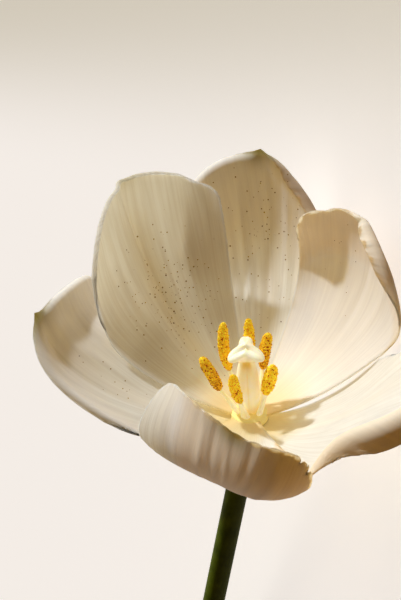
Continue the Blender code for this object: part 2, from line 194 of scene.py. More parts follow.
# azimuth, then radius and height of the anther's foot and tip, half width and sideways bow
STAMENS = {
    1: (188.0, 7.6, 10.8, 12.0, 22.4, 1.55, 0.2),
    2: (130.0, 7.0, 12.0, 8.4, 27.4, 1.35, -0.9),
    3: (78.0, 5.8, 14.0, 6.6, 28.0, 1.15, 0.0),
    4: (30.0, 4.9, 13.8, 7.5, 24.7, 1.4, -0.5),
    5: (325.0, 5.5, 9.8, 8.2, 20.2, 1.7, 0.0),
    6: (245.0, 5.9, 9.2, 9.5, 21.3, 1.2, 0.5),
}
# How brown the pollen coat grows toward an anther's foot, for those where it shows
BROWN_TOWARD_FOOT = {1: 0.85, 2: 0.25, 4: 0.75, 6: 0.25}
FILAMENT_FOOT_RADIUS = 3.1
FILAMENT_HALF_WIDTHS = (1.3, 0.8)

PISTIL_FOOT = 2.1
OVARY_HEIGHT = 17.6
STIGMA_HEIGHT = 22.3
LOBE_AZIMUTH = 86.0

# Heights and radii of the receptacle, then how the stalk leans, its length under the
# receptacle, its radius and how much wider it starts
RECEPTACLE_HEIGHTS = (1.8, 1.75, 1.5, 0.9, 0.0, -1.0, -2.0, -3.0)
RECEPTACLE_RADII = (3.4, 4.2, 4.7, 5.0, 5.0, 4.85, 4.4, 3.85)
STALK_LEAN = 12.0
STALK_LENGTH = 153.0
STALK_RADIUS = 3.15
STALK_SWELL = 0.7


def linear(code):
    """The linear colour of an sRGB hex code."""
    parts = [int(code[i:i + 2], 16) / 255 for i in (1, 3, 5)]
    return tuple(c / 12.92 if c <= 0.04045 else ((c + 0.055) / 1.055) ** 2.4 for c in parts)


def smooth(x):
    """Rises from 0 to 1 as three x squared less two x cubed."""
    x = np.clip(x, 0.0, 1.0)
    return x * x * (3.0 - 2.0 * x)


LIE = (Matrix.Translation(Vector(LIE_LIFT) * MM)
       @ Euler([math.radians(a) for a in LIE_TURN]).to_matrix().to_4x4())


def laid_down(points):
    """Flower millimetres to metres in the frame: the turn, then the shift."""
    turn = np.array(LIE.to_3x3())
    return points @ turn.T * MM + np.array(LIE.translation)


# ---- blades


def midrib(tepal):
    """The midrib: its slope is a cubic through four angles, and radius and height are the
    running sums of the slope's cosine and sine."""
    s = np.linspace(0.0, 1.25, 151)
    knots = np.vander(np.array([0.0, 1 / 3, 2 / 3, 1.0]), 4, increasing=True)
    c = np.linalg.solve(knots, np.array(tepal["slope"], float))
    inner = np.minimum(s, 1.0)
    end_rate = c[1] + 2 * c[2] + 3 * c[3]
    angle = np.radians(c[0] + c[1] * inner + c[2] * inner**2 + c[3] * inner**3
                       + (s - inner) * end_rate)
    middle = 0.5 * (angle[1:] + angle[:-1])
    step = (s[1] - s[0]) * tepal["length"]
    radius = SEAT_RADIUS + np.concatenate([[0.0], np.cumsum(np.cos(middle)) * step])
    height = np.concatenate([[0.0], np.cumsum(np.sin(middle)) * step])
    return s * tepal["length"], radius, height, angle


MIDRIBS = {name: midrib(tepal) for name, tepal in TEPALS.items()}


def sides(tepal, x):
    """Width, place of the widest point and power of the round on the side where x lies."""
    width, widest, power = (np.where(x < 0, *tepal[key]) for key in ("width", "widest", "round"))
    return width, widest * tepal["length"], power


def flank(tepal, t, v):
    """Relative half width below the widest point: a sine from the seat's width to one."""
    seat = SEAT_HALF_WIDTH / sides(tepal, t)[0]
    return seat + (1.0 - seat) * np.sin(v * np.pi / 2) ** 1.15


def outline(tepal, t):
    """Edge of the flat blade: a superellipse over the widest point, the flank's sine below."""
    width, widest, shoulder = sides(tepal, t)
    across = np.sin(np.clip(np.abs(t), 0, 1) * np.pi / 2)
    v = np.clip(2.0 - np.abs(t), 0, 1)
    rim = widest + (tepal["length"] - widest) * (1.0 - across**shoulder) ** (1.0 / shoulder)
    deep, place, wide = tepal.get("notch", (0.0, 0.0, 1.0))
    rim = rim - deep * np.exp(-((t - place) / wide) ** 2)
    on_flank = np.abs(t) > 1
    x = np.where(on_flank, flank(tepal, t, v), across) * width * np.sign(t)
    y = np.where(on_flank, v * widest, rim)
    return x, y


def outward(x, y):
    """Unit normals of the edge, evened over a short stretch of it."""
    dx, dy = np.gradient(x), np.gradient(y)
    length = np.hypot(dx, dy) + 1e-9
    window = np.hanning(61)
    window /= window.sum()
    across, along = (np.convolve(np.pad(part, 30, mode="edge"), window, mode="valid")
                     for part in (-dy / length, dx / length))
    length = np.hypot(across, along) + 1e-9
    return across / length, along / length


def roll_at(tepal, t):
    """Radius, depth and greatest turn of the rolled rim at t, and how far the edge grows for
    it. Near the tip the two sides blend."""
    near_tip = smooth(0.5 + t / 0.3)
    left, right = ((*roll, 180.0)[:4] for roll in tepal["roll"])
    radius, depth, _, turn = (one + (other - one) * near_tip for one, other in zip(left, right))
    roll_end = np.where(t < 0, left[2], right[2])
    fade = smooth((roll_end - np.abs(t)) / tepal.get("fade", 0.3))
    tip = tepal["tip_roll"] + (1.0 - tepal["tip_roll"]) * smooth(np.abs(t) / 0.3)
    (left_trim, left_end), (right_trim, right_end) = tepal["trim"]
    trim = left_trim * (1 - near_tip) + right_trim * near_tip
    trim = trim * smooth((np.where(t < 0, left_end, right_end) - np.abs(t)) / 0.3)
    return radius, depth * fade * tip, np.radians(turn), depth * fade * tip - trim


def edge_of(tepal):
    """Places along the grown edge, its points and its outward normals."""
    t = np.linspace(-2.0, 2.0, 801)
    x, y = outline(tepal, t)
    normal = outward(x, y)
    grow = roll_at(tepal, t)[3]
    x, y = x + grow * normal[0], y + grow * normal[1]
    return t, x, y, outward(x, y), normal


def flat_blade(tepal, u, v):
    """Point of the flat blade: the edge's point at u, drawn in to the seat by v."""
    rim_x, rim_y = outline(tepal, u)
    x, y = rim_x * flank(tepal, u, v), rim_y * v
    t, _, _, _, normal = edge_of(tepal)
    near = u * (2.0 - v)
    grow = roll_at(tepal, near)[3] * np.maximum(np.abs(u), v) ** 6
    return x + grow * np.interp(near, t, normal[0]), y + grow * np.interp(near, t, normal[1])


def rolled(tepal, x, y):
    """The rim turned outward or inward: beyond the crease a point runs round a circle of the
    roll's radius instead of straight on, and leaves it straight after the greatest turn."""
    t, edge_x, edge_y, normal, _ = edge_of(tepal)
    radius, depth, most, _ = roll_at(tepal, t)
    k = np.concatenate([np.argmin((px[:, None] - edge_x) ** 2 + (py[:, None] - edge_y) ** 2, axis=1)
                        for px, py in zip(np.array_split(x, 16), np.array_split(y, 16))])
    inside = (edge_x[k] - x) * normal[0][k] + (edge_y[k] - y) * normal[1][k]
    arc = np.maximum(depth[k] - inside, 0.0)
    turn = np.minimum(arc / radius[k], most[k])
    rest = arc - turn * radius[k]
    slide = radius[k] * np.sin(turn) + rest * np.cos(turn) - arc
    left, right = tepal.get("fold_in", (0.0, 0.0))
    inward = 2.0 * (left + (right - left) * smooth(0.5 + t[k] / 0.16)) - 1.0
    drop = inward * (radius[k] * (1.0 - np.cos(turn)) + rest * np.sin(turn))
    return x + slide * normal[0][k], y + slide * normal[1][k], drop, inside, depth[k]


def waves(seed, count, low, high):
    """Numbers of waves, phases and strengths of a fixed random sum of sines."""
    dice = np.random.default_rng(seed)
    turns = dice.uniform(low, high, count)
    return turns, dice.uniform(0, 2 * np.pi, count), dice.uniform(0.4, 1.0, count) * low / turns


def relief(name, u, v):
    """Inward height of the skin: each pleat a bell across the blade that fades in and out along
    it, plus fine ribs and slow waves as sums of sines that grow toward the rim."""
    seed = sorted(TEPALS).index(name)
    height = np.zeros_like(u)
    for foot, tip, start, stop, wide, deep in PLEATS[name]:
        middle = foot + (tip - foot) * (v - start) / (stop - start)
        wander = 0.012 * np.sin(9.0 * v + 20.0 * foot)
        bell = np.exp(-((u - middle - wander) / wide) ** 2)
        height += deep * bell * smooth((v - start) / 0.25) * smooth((stop - v) / 0.12)
    for turns, phase, strength in zip(*waves(60 + seed, 9, 9.0, 26.0)):
        rib = np.sin(np.pi * turns * u + phase + 3.0 * v)
        height += RIB_HEIGHT * strength * rib * smooth(v * 1.6 - 0.3)
    for turns, phase, strength in zip(*waves(80 + seed, 5, 1.2, 4.0)):
        wave = np.sin(np.pi * turns * u + phase + 5.0 * v)
        height += WAVE_HEIGHT * strength * wave * smooth(v * 2.0 - 0.7)
    return CALM.get(name, 1.0) * height * smooth((1.02 - np.abs(u)) / 0.1)


def ragged(name, t):
    """How far the real edge wanders outward at t: short random waves, a small point at the
    tip of two outer blades, and on the front blade three small tears."""
    seed = sorted(TEPALS).index(name)
    shift = sum(EDGE_WANDER * strength * np.sin(np.pi * turns * t + phase)
                for turns, phase, strength in zip(*waves(20 + seed, 12, 8.0, 60.0)))
    if name in POINTED:
        shift = shift + POINT_LENGTH * np.exp(-np.abs(t) / 0.04)
    for place, wide, deep in TEARS.get(name, ()):
        shift = shift - deep * np.exp(-((t - place) / wide) ** 2)
    return shift * smooth((1.5 - np.abs(t)) / 0.3)


def bowl_weights(azimuth):
    """Share of each midrib in the common bowl: smooth steps between neighbouring azimuths."""
    order = sorted(TEPALS, key=lambda name: TEPALS[name]["azimuth"])
    weights = {name: np.zeros_like(azimuth) for name in order}
    for first, second in zip(order, order[1:] + order[:1]):
        start = TEPALS[first]["azimuth"]
        span = (TEPALS[second]["azimuth"] - start) % 360
        way = np.mod(azimuth - start, 360) / span
        own, next_own = (OWN_SECTOR.get(name, OWN_SECTOR_REST) for name in (first, second))
        share = smooth((way - own) / (1.0 - own - next_own))
        weights[first] += np.where(way < 1, 1.0 - share, 0.0)
        weights[second] += np.where(way < 1, share, 0.0)
    return weights


def bent_blade(name, x, y, z):
    """Wraps the flat blade round the axis: near the seat in the bowl that all blades share,
    further out along its own midrib, with its edges bent inward."""
    tepal = TEPALS[name]
    along, radius, height, slope = MIDRIBS[name]
    f = y / tepal["length"]
    own = [np.interp(y, along, values) for values in (radius, height, slope)]
    azimuth = (tepal["azimuth"] + tepal["sweep"] * np.clip(f, 0, 1.2) ** 1.5
               - np.degrees(x / own[0]))
    weights = bowl_weights(azimuth)
    bowl = [sum(weights[other] * np.interp(y, MIDRIBS[other][0], MIDRIBS[other][column])
                for other in TEPALS) for column in (1, 2, 3)]
    held = 1.0 - smooth((f - FREE_FROM.get(name, FREE_FROM_REST)) / 0.35)
    r, h, angle = (held * b + (1.0 - held) * o for b, o in zip(bowl, own))
    side = x / sides(tepal, x)[0]
    square, line, cube = tepal["bend"]
    bend = smooth((f - 0.3) / 0.6) * (square * side**2 + line * side + cube * side**3)
    inward = bend + z - tepal["whorl"] * WHORL_OFFSET
    r = r - np.sin(angle) * inward
    h = h + np.cos(angle) * inward
    azimuth = np.radians(azimuth)
    return np.stack([r * np.cos(azimuth), r * np.sin(azimuth), h], axis=-1)


# ---- meshes


def as_mesh(name, points, faces, surface, uv=None):
    """An object at the origin whose mesh holds the laid-down points and the faces."""
    mesh = bpy.data.meshes.new(name)
    mesh.from_pydata(laid_down(points).tolist(), [], faces)
    mesh.materials.append(surface)
    mesh.shade_smooth()
    if uv is not None:
        layer = mesh.uv_layers.new(name="blade")
        corners = np.empty(len(mesh.loops), dtype=np.int32)
        mesh.loops.foreach_get("vertex_index", corners)
        layer.uv.foreach_set("vector", uv[corners].astype(np.float32).ravel())
    piece = bpy.data.objects.new(name, mesh)
    bpy.context.scene.collection.objects.link(piece)
    return piece


def sheet_faces(cells):
    """Quads of an open square grid with that many cells each way."""
    row = cells + 1
    first = np.arange(cells * row).reshape(cells, row)[:, :-1].ravel()
    return np.stack([first, first + 1, first + row + 1, first + row], axis=1).tolist()


def closed_skin(name, points, surface):
    """An object whose skin runs over stacked rings of points and closes with a fan to the
    middle of the first and of the last ring, which are its last two points."""
    rings, around = points.shape[:2]
    ring = np.arange((rings - 1) * around).reshape(rings - 1, around)
    turn = np.roll(ring, -1, axis=1)
    faces = np.stack([ring, turn, turn + around, ring + around], axis=-1).reshape(-1, 4).tolist()
    foot, top = rings * around, rings * around + 1
    last = (rings - 1) * around
    faces += [[foot, (i + 1) % around, i] for i in range(around)]
    faces += [[top, last + i, last + (i + 1) % around] for i in range(around)]
    ends = np.stack([points[0].mean(axis=0), points[-1].mean(axis=0)])
    return as_mesh(name, np.concatenate([points.reshape(-1, 3), ends]), faces, surface)


def paint(piece, layer, values):
    """A number at each point of the mesh, for its material."""
    made = piece.data.attributes.new(layer, "FLOAT", "POINT")
    made.data.foreach_set("value", values.ravel().astype(np.float32))


def finished(piece, nodes):
    """Puts a piece on the body in place of its solids."""
    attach(piece, "root")
    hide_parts(*nodes)


# ---- materials


NO_LIGHT = (0.0, 0.0, 0.0)
WHITE_LIGHT = (1.0, 1.0, 1.0)
VEIN_SHADE = (0.45, 0.33, 0.16)


def add(tree, kind, settings=None, **inputs):
    """Adds a node, sets its settings, and sets or links its inputs by name, or by number as
    i0, i1 and so on."""
    node = tree.nodes.new(kind)
    for key, value in (settings or {}).items():
        setattr(node, key, value)
    for key, value in inputs.items():
        numbered = key[0] == "i" and key[1:].isdigit()
        socket = node.inputs[int(key[1:]) if numbered else key.replace("_", " ")]
        if isinstance(value, bpy.types.NodeSocket):
            tree.links.new(value, socket)
        else:
            socket.default_value = value
    return node


def new_material(name):
    """A material with no node yet, and its nodes."""
    made = bpy.data.materials.new(name)
    made.use_nodes = True
    made.node_tree.nodes.clear()
    return made, made.node_tree


def blend(tree, factor, one, other, how="MIX"):
    """Colour that goes from one to the other, each a plain colour or a node's output."""
    one, other = (colour if isinstance(colour, bpy.types.NodeSocket) else (*colour, 1.0)
                  for colour in (one, other))
    return add(tree, "ShaderNodeMix", {"data_type": "RGBA", "blend_type": how}, Factor=factor,
               i6=one, i7=other).outputs[2]


def blend_numbers(tree, factor, one, other):
    """Number that goes from one to the other."""
    return add(tree, "ShaderNodeMix", {"data_type": "FLOAT"}, i0=factor, i2=one,
               i3=other).outputs[0]


def ramp(tree, value, start, stop, low=0.0, high=1.0, kind="SMOOTHSTEP"):
    """Number that goes from low to high while the value goes from start to stop."""
    return add(tree, "ShaderNodeMapRange", {"interpolation_type": kind}, Value=value,
               From_Min=start, From_Max=stop, To_Min=low, To_Max=high).outputs[0]


def calculate(tree, operation, one, other):
    """One sum, product or comparison of two numbers."""
    return add(tree, "ShaderNodeMath", {"operation": operation}, i0=one, i1=other).outputs[0]


def painted(tree, layer):
    """Number that the mesh carries under that name, 0 where it has none."""
    return add(tree, "ShaderNodeAttribute", {"attribute_name": layer}).outputs["Fac"]


def noise(tree, place, scale, detail, roughness, dimensions="3D"):
    """Soft random pattern between 0 and 1."""
    return add(tree, "ShaderNodeTexNoise", {"noise_dimensions": dimensions}, Vector=place,
               Scale=scale, Detail=detail, Roughness=roughness).outputs[0]


def random_cells(tree, place, size):
    """Random cells of a size in millimetres: distance from the cell's middle, as a share of
    the size, and three chances that are even over a cell."""
    made = add(tree, "ShaderNodeTexVoronoi", None, Vector=place, Scale=1.0 / MM / size,
               Randomness=1.0)
    chances = add(tree, "ShaderNodeSeparateColor", None, Color=made.outputs["Color"])
    return made.outputs["Distance"], chances.outputs


def facing(tree, place, way):
    """How far a place lies along a way."""
    return add(tree, "ShaderNodeVectorMath", {"operation": "DOT_PRODUCT"}, i0=place,
               i1=tuple(way)).outputs["Value"]


def skin_shader(tree, colour, inner, bump=None, **values):
    """Principled skin with the bump's relief, the inner colour as light that it gives off, and
    the values as plain numbers on its sockets."""
    shader = add(tree, "ShaderNodeBsdfPrincipled", None, Base_Color=colour, Emission_Color=inner)
    if bump:
        tree.links.new(bump.outputs[0], shader.inputs["Normal"])
    for key, value in values.items():
        shader.inputs[key.replace("_", " ")].default_value = value
    return shader.outputs[0]


def shed_pollen(tree, place, under, look):
    """Specks of fallen pollen over the colour under them: one round speck at most in each cell
    0.95 mm across, 0.15 to 0.45 mm wide, in more cells where more pollen is painted."""
    distance, chance = random_cells(tree, place, 0.95)
    reach = ramp(tree, chance[0], 0.0, 1.0, 0.08, 0.24, "LINEAR")
    speck = calculate(tree, "LESS_THAN", distance, reach)
    fallen = calculate(tree, "LESS_THAN", chance[2], painted(tree, "pollen"))
    pollen = blend(tree, chance[1], look.pollen_speck, look.pollen_dark)
    return blend(tree, calculate(tree, "MULTIPLY", speck, fallen), under, pollen)


def fresh_petal(look):
    """White tulip petal: thin living tissue full of air and sap. It is soft satin, lets warm
    light through each skin, is yellow at its foot, and carries fine veins and shed pollen.
    Where painted shade is laid it passes less and browner light and is painted brownish cream."""
    made, tree = new_material("fresh_white_petal")
    uv = add(tree, "ShaderNodeUVMap", {"uv_map": "blade"}).outputs["UV"]
    along = add(tree, "ShaderNodeSeparateXYZ", None, Vector=uv).outputs["Y"]
    place = add(tree, "ShaderNodeTexCoord").outputs["Object"]
    # the first share read here is thick tissue along the midrib and painted shade elsewhere
    thick_and_painted_shade, rim = painted(tree, "thick_and_painted_shade"), painted(tree, "rim")
    # veins: noise with sixty cells across the blade for two along it
    stretch = add(tree, "ShaderNodeMapping", None, Vector=uv, Scale=(60.0, 2.2, 1.0))
    veins = noise(tree, stretch.outputs[0], 1.0, 4.0, 0.6, "2D")
    vein_tone = ramp(tree, veins, 0.38, 0.68, 0.0, 0.22, "LINEAR")
    colour = blend(tree, vein_tone, look.petal_white, look.petal_vein)
    colour = blend(tree, ramp(tree, along, 0.02, 0.24, 1.0, 0.0), colour, look.petal_foot)
    colour = blend(tree, painted(tree, "green"), colour, look.petal_tip)
    # painted shade: brownish cream over the right folds, the shaded top of tepal_back_right and the
    # front blade's outer face
    colour = blend(tree, ramp(tree, thick_and_painted_shade, 0.75, 1.0, kind="LINEAR"), colour, look.painted_shade_cream,
                   "MULTIPLY")
    colour = shed_pollen(tree, place, colour, look)
    # the glow at the foot stands in for light that juicy flesh passes on round the seat
    foot_glow = blend(tree, ramp(tree, along, 0.1, 0.45, 1.0, 0.0), NO_LIGHT, look.petal_foot)
    relief_height = calculate(tree, "ADD", veins, noise(tree, place, 55.0, 3.0, 0.5))
    bump = add(tree, "ShaderNodeBump", None, Height=relief_height, Strength=0.25, Distance=0.0003)
    skin = skin_shader(tree, colour, foot_glow, bump, Roughness=0.52, IOR=1.42,
                       Emission_Strength=0.16, Specular_IOR_Level=0.3, Sheen_Weight=0.05)
    # light that passes: warmer and browner in thick tissue and in painted shade, white at the thin
    # rim, brown along the veins
    through = blend(tree, thick_and_painted_shade, look.petal_through, look.through_thick_and_shade)
    through = blend(tree, rim, through, WHITE_LIGHT)
    through = blend(tree, 1.0, colour, through, "MULTIPLY")
    through = blend(tree, vein_tone, through, VEIN_SHADE, "MULTIPLY")
    glowing = add(tree, "ShaderNodeBsdfTranslucent", None, Color=through)
    thinness = calculate(tree, "ADD", ramp(tree, along, 0.02, 0.24, 0.03, 0.0),
                         look.petal_thinness)
    # painted shade: where that share is high the blade passes half as much light, so shaded parts
    # go darker and lit parts brighter
    thinness = blend_numbers(tree, thick_and_painted_shade, thinness, look.petal_thinness * 0.5)
    thinness = blend_numbers(tree, rim, thinness, 0.84)
    thin = add(tree, "ShaderNodeMixShader", None, i0=thinness, i1=skin, i2=glowing.outputs[0])
    add(tree, "ShaderNodeOutputMaterial", None, Surface=thin.outputs[0])
    return made


def smooth_tissue(name, light, shade, per_metre, roughness, depth, pale, gloss=0.25,
                  glow=0.2, all_glows=True):
    """Smooth living tissue, such as a filament, an ovary or a stalk: satin skin over juicy
    cells, with long soft streaks of two close tones, and a third tone where painted, which on
    the pistil is partly painted shade in the hollow under its cap. It gives a little light,
    which stands in for what pale petals and juicy cells pass on all round it; a green stalk
    has that only where painted."""
    made, tree = new_material(name)
    place = add(tree, "ShaderNodeTexCoord").outputs["Object"]
    streak = noise(tree, place, per_metre, 3.0, 0.55)
    skin = blend(tree, ramp(tree, streak, 0.3, 0.7, kind="LINEAR"), light, shade)
    third = painted(tree, "pale")
    bump = add(tree, "ShaderNodeBump", None, Height=streak, Strength=0.3, Distance=0.0003)
    shader = skin_shader(tree, blend(tree, third, skin, pale),
                         blend(tree, third, skin if all_glows else NO_LIGHT, pale), bump,
                         Roughness=roughness, IOR=1.42, Emission_Strength=glow,
                         Specular_IOR_Level=gloss, Subsurface_Weight=depth,
                         Subsurface_Radius=(1.0, 0.8, 0.4), Subsurface_Scale=0.0015)
    add(tree, "ShaderNodeOutputMaterial", None, Surface=shader)
    return made


def pollen_coat(look):
    """Pollen on an anther: matt golden grains that cling in clumps 0.4 mm across, bright on
    top, with painted shade of dark orange-brown in the pits between them, and brown patches
    that grow toward the foot where painted. It gives a little light, which stands in for
    light scattered from grain to grain in the loose coat."""
    made, tree = new_material("golden_pollen_grains")
    place = add(tree, "ShaderNodeTexCoord").outputs["Object"]
    distance, chance = random_cells(tree, place, 0.4)
    # painted shade: dark orange-brown in the pits between grains
    painted_pit_shade = ramp(tree, distance, 0.6, 0.88)
    patch = ramp(tree, noise(tree, place, 900.0, 2.0, 0.6), 0.6, 0.7)
    brown = add(tree, "ShaderNodeMath", {"operation": "MULTIPLY_ADD", "use_clamp": True},
                i0=painted(tree, "browner_toward_foot"), i1=chance[0],
                i2=calculate(tree, "MAXIMUM", painted_pit_shade, patch)).outputs[0]
    gold = blend(tree, chance[1], look.pollen_gold, look.pollen_orange)
    colour = blend(tree, brown, gold, look.pollen_brown)
    bump = add(tree, "ShaderNodeBump", {"invert": True}, Height=distance, Strength=0.9,
               Distance=0.0003)
    shader = skin_shader(tree, colour, colour, bump, Roughness=0.85, IOR=1.4,
                         Emission_Strength=0.3, Specular_IOR_Level=0.2, Subsurface_Weight=0.5,
                         Subsurface_Radius=(1.0, 0.6, 0.2), Subsurface_Scale=0.0007)
    add(tree, "ShaderNodeOutputMaterial", None, Surface=shader)
    return made


# ---- settings


def colour_setting(name, description, default):
    """A colour that a user may change."""
    return FloatVectorProperty(name=name, description=description, subtype="COLOR", size=3,
                               min=0.0, max=1.0, default=default)


class TulipLook(bpy.types.PropertyGroup):
    """Colours of the flower, linear."""
    petal_white: colour_setting("Petal white", "Main colour of a petal", linear("#fdfdfc"))
    petal_vein: colour_setting("Petal vein", "Tone between the fine veins", linear("#f6f3ec"))
    petal_foot: colour_setting("Petal foot", "Yellow glow at a petal's foot", linear("#fcf0c4"))
    petal_tip: colour_setting("Petal tip", "Yellow-green of a petal's tip", linear("#b9a95a"))
    petal_through: colour_setting("Light through", "Tint of light that passes a petal",
                                  (1.0, 0.945, 0.8))
    # painted shade: brownish cream laid where a blade lies in shade
    painted_shade_cream: colour_setting("Flesh cream", "Tint of a petal where it is thick",
                                (1.0, 0.91, 0.72))
    # painted shade: browner light passed where a blade lies in shade, and through the midrib's
    # thick tissue
    through_thick_and_shade: colour_setting("Light through flesh", "Tint of light that passes it there",
                                  (1.0, 0.76, 0.24))
    pollen_speck: colour_setting("Pollen speck", "Shed pollen, fresh", linear("#bd9d08"))
    pollen_dark: colour_setting("Dark speck", "Shed pollen, clumped", linear("#7a5010"))
    pollen_gold: colour_setting("Pollen gold", "Pollen on an anther", linear("#ffe03a"))
    pollen_orange: colour_setting("Pollen orange", "The deeper of its two tones",
                                  linear("#ffbc18"))
    # used as painted shade in the pits between pollen grains, and for brown patches
    pollen_brown: colour_setting("Pollen brown", "Between pollen grains", linear("#9c3a04"))
    petal_thinness: FloatProperty(
        name="Petal thinness", description="Share of light that passes each skin",
        default=0.58, min=0.0, max=1.0, subtype="FACTOR")


class TulipSizes(bpy.types.PropertyGroup):
    """Sizes that a user may change without leaving the solids' box."""
    blade_thickness: FloatProperty(
        name="Blade thickness", description="Thickness of a petal",
        default=0.00045, min=0.0002, max=0.0008, unit="LENGTH")
    blade_cells: IntProperty(
        name="Blade cells", description="Grid cells across a petal", default=140, min=20, max=200)
    grain_height: FloatProperty(
        name="Grain height", description="Roughness of the pollen coat",
        default=0.00012, min=0.0, max=0.0004, unit="LENGTH")


class TulipStudio(bpy.types.PropertyGroup):
    """Light and floor."""
    key_strength: FloatProperty(
        name="Key strength", description="Sun-like key light", default=3.2, min=0.0, max=20.0)
    key_angle: FloatProperty(
        name="Key softness", description="Apparent size of the key light",
        default=math.radians(4.0), min=0.0, max=0.5, subtype="ANGLE")
    fill_strength: FloatProperty(
        name="Fill strength", description="Soft light from all round",
        default=1.12, min=0.0, max=3.0)
    fill_colour: colour_setting("Fill colour", "Room on its bright side", (1.0, 0.97, 0.92))
    shade_colour: colour_setting("Shade colour", "Room on its dark side", (0.075, 0.048, 0.02))
    floor_colour: colour_setting("Floor colour", "Pale floor", linear("#efebe8"))
    # painted shade of the floor where it runs away
    floor_far_colour: colour_setting("Far floor", "Floor where it runs away", linear("#cdc7ba"))
    floor_glow: FloatProperty(
        name="Floor glow", description="Light the floor gives by itself",
        default=0.70, min=0.0, max=2.0)
    floor_turn: FloatVectorProperty(
        name="Floor turn", description="Where the floor darkens, from and to",
        subtype="NONE", unit="LENGTH", size=2, default=(0.09, 0.184))


# ---- operators


class MakeTepals(bpy.types.Operator):
    """Make the six white tepals"""
    bl_idname = "tulip.make_tepals"
    bl_label = "Tepals"

    def execute(self, context):
        sizes = context.scene.tulip_sizes
        surface = fresh_petal(context.scene.tulip_look)
        cells = sizes.blade_cells
        for name, tepal in TEPALS.items():
            u, v = np.meshgrid(np.linspace(-1, 1, cells + 1), np.linspace(0, 1, cells + 1))
            u, v = u.ravel(), 1.0 - (1.0 - v.ravel()) ** 1.4
            x, y = flat_blade(tepal, u, v)
            x, y, z, inside, depth = rolled(tepal, x, y)
            near = np.maximum(np.abs(u), v) ** 30 * ragged(name, u * (2.0 - v))
            x, y = x + near * u, y + near * np.sqrt(np.clip(1.0 - u * u, 0.0, 1.0))
            points = bent_blade(name, x, y, z + relief(name, u, v))
            piece = as_mesh(f"{name}_blade", points, sheet_faces(cells), surface,
                            np.stack([u * 0.5 + 0.5, v], axis=1))
            paint(piece, "pollen", self.pollen(name, u, v))
            paint(piece, "rim", self.thin_rim(name, u, inside - 6.0 * near))
            # painted shade and the midrib's thick tissue, as one share for the material
            paint(piece, "thick_and_painted_shade", self.thickness_and_shade(name, u, v, inside, depth))
            paint(piece, "green", GREEN_TIP.get(name, GREEN_TIP_REST)
                  * np.exp(-((u / 0.12) ** 2) - ((1.0 - v) / 0.05) ** 2))
            wall = piece.modifiers.new("thickness", "SOLIDIFY")
            wall.thickness = sizes.blade_thickness
            wall.offset = 0.0
            finished(piece, [name])
        return {"FINISHED"}

    def pollen(self, name, u, v):
        """How thick shed pollen lies: a round bell over the blade."""
        across, along, wide, long, thick = POLLEN.get(name, (0.0, 0.0, 1.0, 1.0, 0.0))
        return thick * np.exp(-(((u - across) / wide) ** 2) - ((v - along) / long) ** 2)

    def thin_rim(self, name, u, inside):
        """1 within half a millimetre or so of the edge, and 0 further in. The right rim of
        tepal_right is thick."""
        thick_side = smooth(u / 0.1) * (name == "tepal_right")
        return smooth((0.75 - inside) / 0.5) * (1.0 - thick_side)

    def thickness_and_shade(self, name, u, v, inside, depth):
        """Share of thick tissue and of painted shade: the most of a ridge along the midrib, an even
        part, a part that grows toward the tip, the right fold beyond its crease, and on the front
        blade all but its right side and its foot. All but the ridge is painted shade, laid where
        the blade lies in shade; the even part also brightens a lit face."""
        ridge = 0.35 * np.exp(-((u / 0.12) ** 2)) * smooth(2.0 * (1.0 - v)) * smooth(4.0 * v)
        most = np.maximum(ridge, PAINTED_LIGHT_ALL.get(name, 0.0))
        most = np.maximum(most, PAINTED_SHADE_TIP.get(name, 0.0) * smooth((v - 0.5) / 0.3))
        if name in PAINTED_SHADE_FOLD:
            fold = smooth((depth + 0.6 - inside) / 1.2) * smooth((depth - 2.5) / 2.0)
            most = np.maximum(most, fold * (u > 0))
        if name == "tepal_front":
            most = np.maximum(most, smooth((0.75 - u) / 0.5) * smooth((v - 0.2) / 0.2))
        return most


